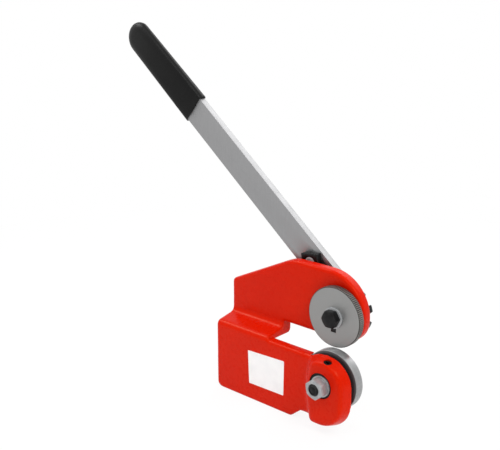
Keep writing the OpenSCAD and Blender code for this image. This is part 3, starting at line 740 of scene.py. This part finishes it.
def set_screw():
    """The screw in the boss's top, a little slimmer than its hole."""
    obj = bevelled(node_copy("set_screw_finish", "set_screw"), 0.3 * MM)
    slim = Matrix.Diagonal((SCREW_SCALE, SCREW_SCALE, 1, 1))
    place(obj, screw_axes(screw_y + SCREW_SHIFT) @ slim @ screw_axes(screw_y).inverted())
    return finish_piece(smooth(obj, 40), "set_screw")


def spring():
    """The coil as it is in the CAD model, shaded smooth."""
    obj = node_copy("pawl_spring_finish", "pawl_spring")
    return finish_piece(smooth(obj, 60), "pawl_spring")


STUD_R = 7.9 * MM
STUD_PITCH = 2 * MM
STUD_IN_NUT = 1 * MM      # how far the drawn thread reaches into the nut


def axle_stud():
    """The axle: its turned body from the CAD node, and a blackened threaded end that leaves the nut."""
    low, start = front_back("lower_axle")[0], front_back("axle_nut")[0] + STUD_IN_NUT
    obj = bevelled(node_copy("lower_axle_finish", "lower_axle"), 0.4 * MM, 2, 35)
    cut(obj, rod_y("space", axle.x, axle.z, STUD_R + 1 * MM, low - 1 * MM, start))
    stud_end = thread("stud_end", axle.x, axle.z, STUD_R, low, start, STUD_PITCH)
    part_of(smooth(stud_end, 50), "adjuster", "black_steel")
    return finish_piece(smooth(obj, 40), "lower_axle")


set_screw()
spring()
axle_stud()


# Floor, light and camera

FLOOR_SIZE = 9
SHADOW_NEAR, SHADOW_FAR = 0.3, 1.0     # the floor is all white past SHADOW_FAR
SHADOW_WHITE = 0.88                    # and this white, where the camera sees it, up to SHADOW_NEAR
WORLD_HEIGHTS = (-0.2, 0.9)            # the world's light grows between these heights of its direction,
WORLD_LIGHT = (0.35, 0.7)              # from the first strength to the second


def seen_directly(nodes):
    """1 for rays from the camera, from mirrors and through glass."""
    path = nodes.node("ShaderNodeLightPath").outputs
    mirrored = nodes.math("MAXIMUM", path["Is Camera Ray"], path["Is Glossy Ray"])
    return nodes.math("MAXIMUM", mirrored, path["Is Transmission Ray"])


def white_where_seen(material, near, far, amount):
    """Mixes plain white into what is seen of a surface: amount of it up to near, all white past far."""
    output = material.tree.nodes["Material Output"]
    surface = output.inputs["Surface"].links[0].from_socket
    distance = material.node("ShaderNodeVectorMath", {0: material.coords}, operation="LENGTH")
    whiteness = material.ramp(distance.outputs["Value"], near, far, amount, 1.0)
    scaled = material.math("MULTIPLY", whiteness, seen_directly(material))
    glow = material.node("ShaderNodeEmission")
    mixed = material.node("ShaderNodeMixShader", {0: scaled, 1: surface, 2: glow.outputs[0]})
    material.tree.links.new(mixed.outputs[0], output.inputs["Surface"])


def floor():
    """Pale floor that keeps the shadow near the object and ends in plain white."""
    bm = bmesh.new()
    bmesh.ops.create_grid(bm, x_segments=1, y_segments=1, size=FLOOR_SIZE)
    obj = from_bmesh("floor", bm)
    material = Material("floor_white", {"Base Color": (0.9, 0.9, 0.9, 1), "Roughness": 0.9,
                                        "Specular IOR Level": 0.0})
    white_where_seen(material, SHADOW_NEAR, SHADOW_FAR, SHADOW_WHITE)
    obj.data.materials.append(material.mat)


def lamp(name, location, target, size, watts):
    """A rectangular lamp that points at the target."""
    data = bpy.data.lights.new(name, "AREA")
    data.shape = "RECTANGLE"
    data.size, data.size_y = size
    data.energy = watts
    obj = bpy.data.objects.new(name, data)
    bpy.context.scene.collection.objects.link(obj)
    obj.location = location
    obj.rotation_euler = (Vector(target) - Vector(location)).to_track_quat("-Z", "Y").to_euler()


def world():
    """White where it is seen. As a light it is stronger above than at the level of the object."""
    surroundings = bpy.data.worlds.new("studio")
    bpy.context.scene.world = surroundings
    surroundings.use_nodes = True
    nodes = Nodes(surroundings.node_tree)
    coords = nodes.node("ShaderNodeTexCoord").outputs["Generated"]
    height = nodes.node("ShaderNodeSeparateXYZ", {0: coords}).outputs["Z"]
    light = nodes.ramp(height, *WORLD_HEIGHTS, *WORLD_LIGHT)
    strength = nodes.node("ShaderNodeMix", {0: seen_directly(nodes), 2: light, 3: 1.0})
    background = nodes.tree.nodes["Background"]
    background.inputs["Color"].default_value = (1, 1, 1, 1)
    nodes.tree.links.new(strength.outputs[0], background.inputs["Strength"])


CAMERA_AT = (0.73327, -0.81909, 0.57338)
CAMERA_AIM = (-0.02311, 0.014, 0.24046)
CAMERA_ROLL = math.radians(-0.2)
CAMERA_LENS = 63.59


def camera():
    """The photograph's viewpoint."""
    data = bpy.data.cameras.new("camera")
    data.lens = CAMERA_LENS
    data.sensor_width = 36
    data.sensor_fit = "HORIZONTAL"
    obj = bpy.data.objects.new("camera", data)
    bpy.context.scene.collection.objects.link(obj)
    aim = (Vector(CAMERA_AIM) - Vector(CAMERA_AT)).to_track_quat("-Z", "Y").to_matrix().to_4x4()
    obj.matrix_world = Matrix.Translation(CAMERA_AT) @ aim @ Matrix.Rotation(CAMERA_ROLL, 4, "Z")
    bpy.context.scene.camera = obj


floor()
lamp("key", (1.15, -0.35, 1.4), (0.05, 0.0, 0.15), (0.5, 0.5), 12)
lamp("front", (0.35, -1.0, 1.55), (-0.1, 0.0, 0.3), (0.4, 0.4), 4)
lamp("over", (-1.0, -0.4, 1.35), (0.05, 0.0, 0.15), (0.5, 0.5), 8)
lamp("back", (0.12, 1.15, 1.4), (0.0, 0.0, 0.3), (1.6, 1.2), 12)
world()
camera()
bpy.context.scene.view_settings.view_transform = "Standard"
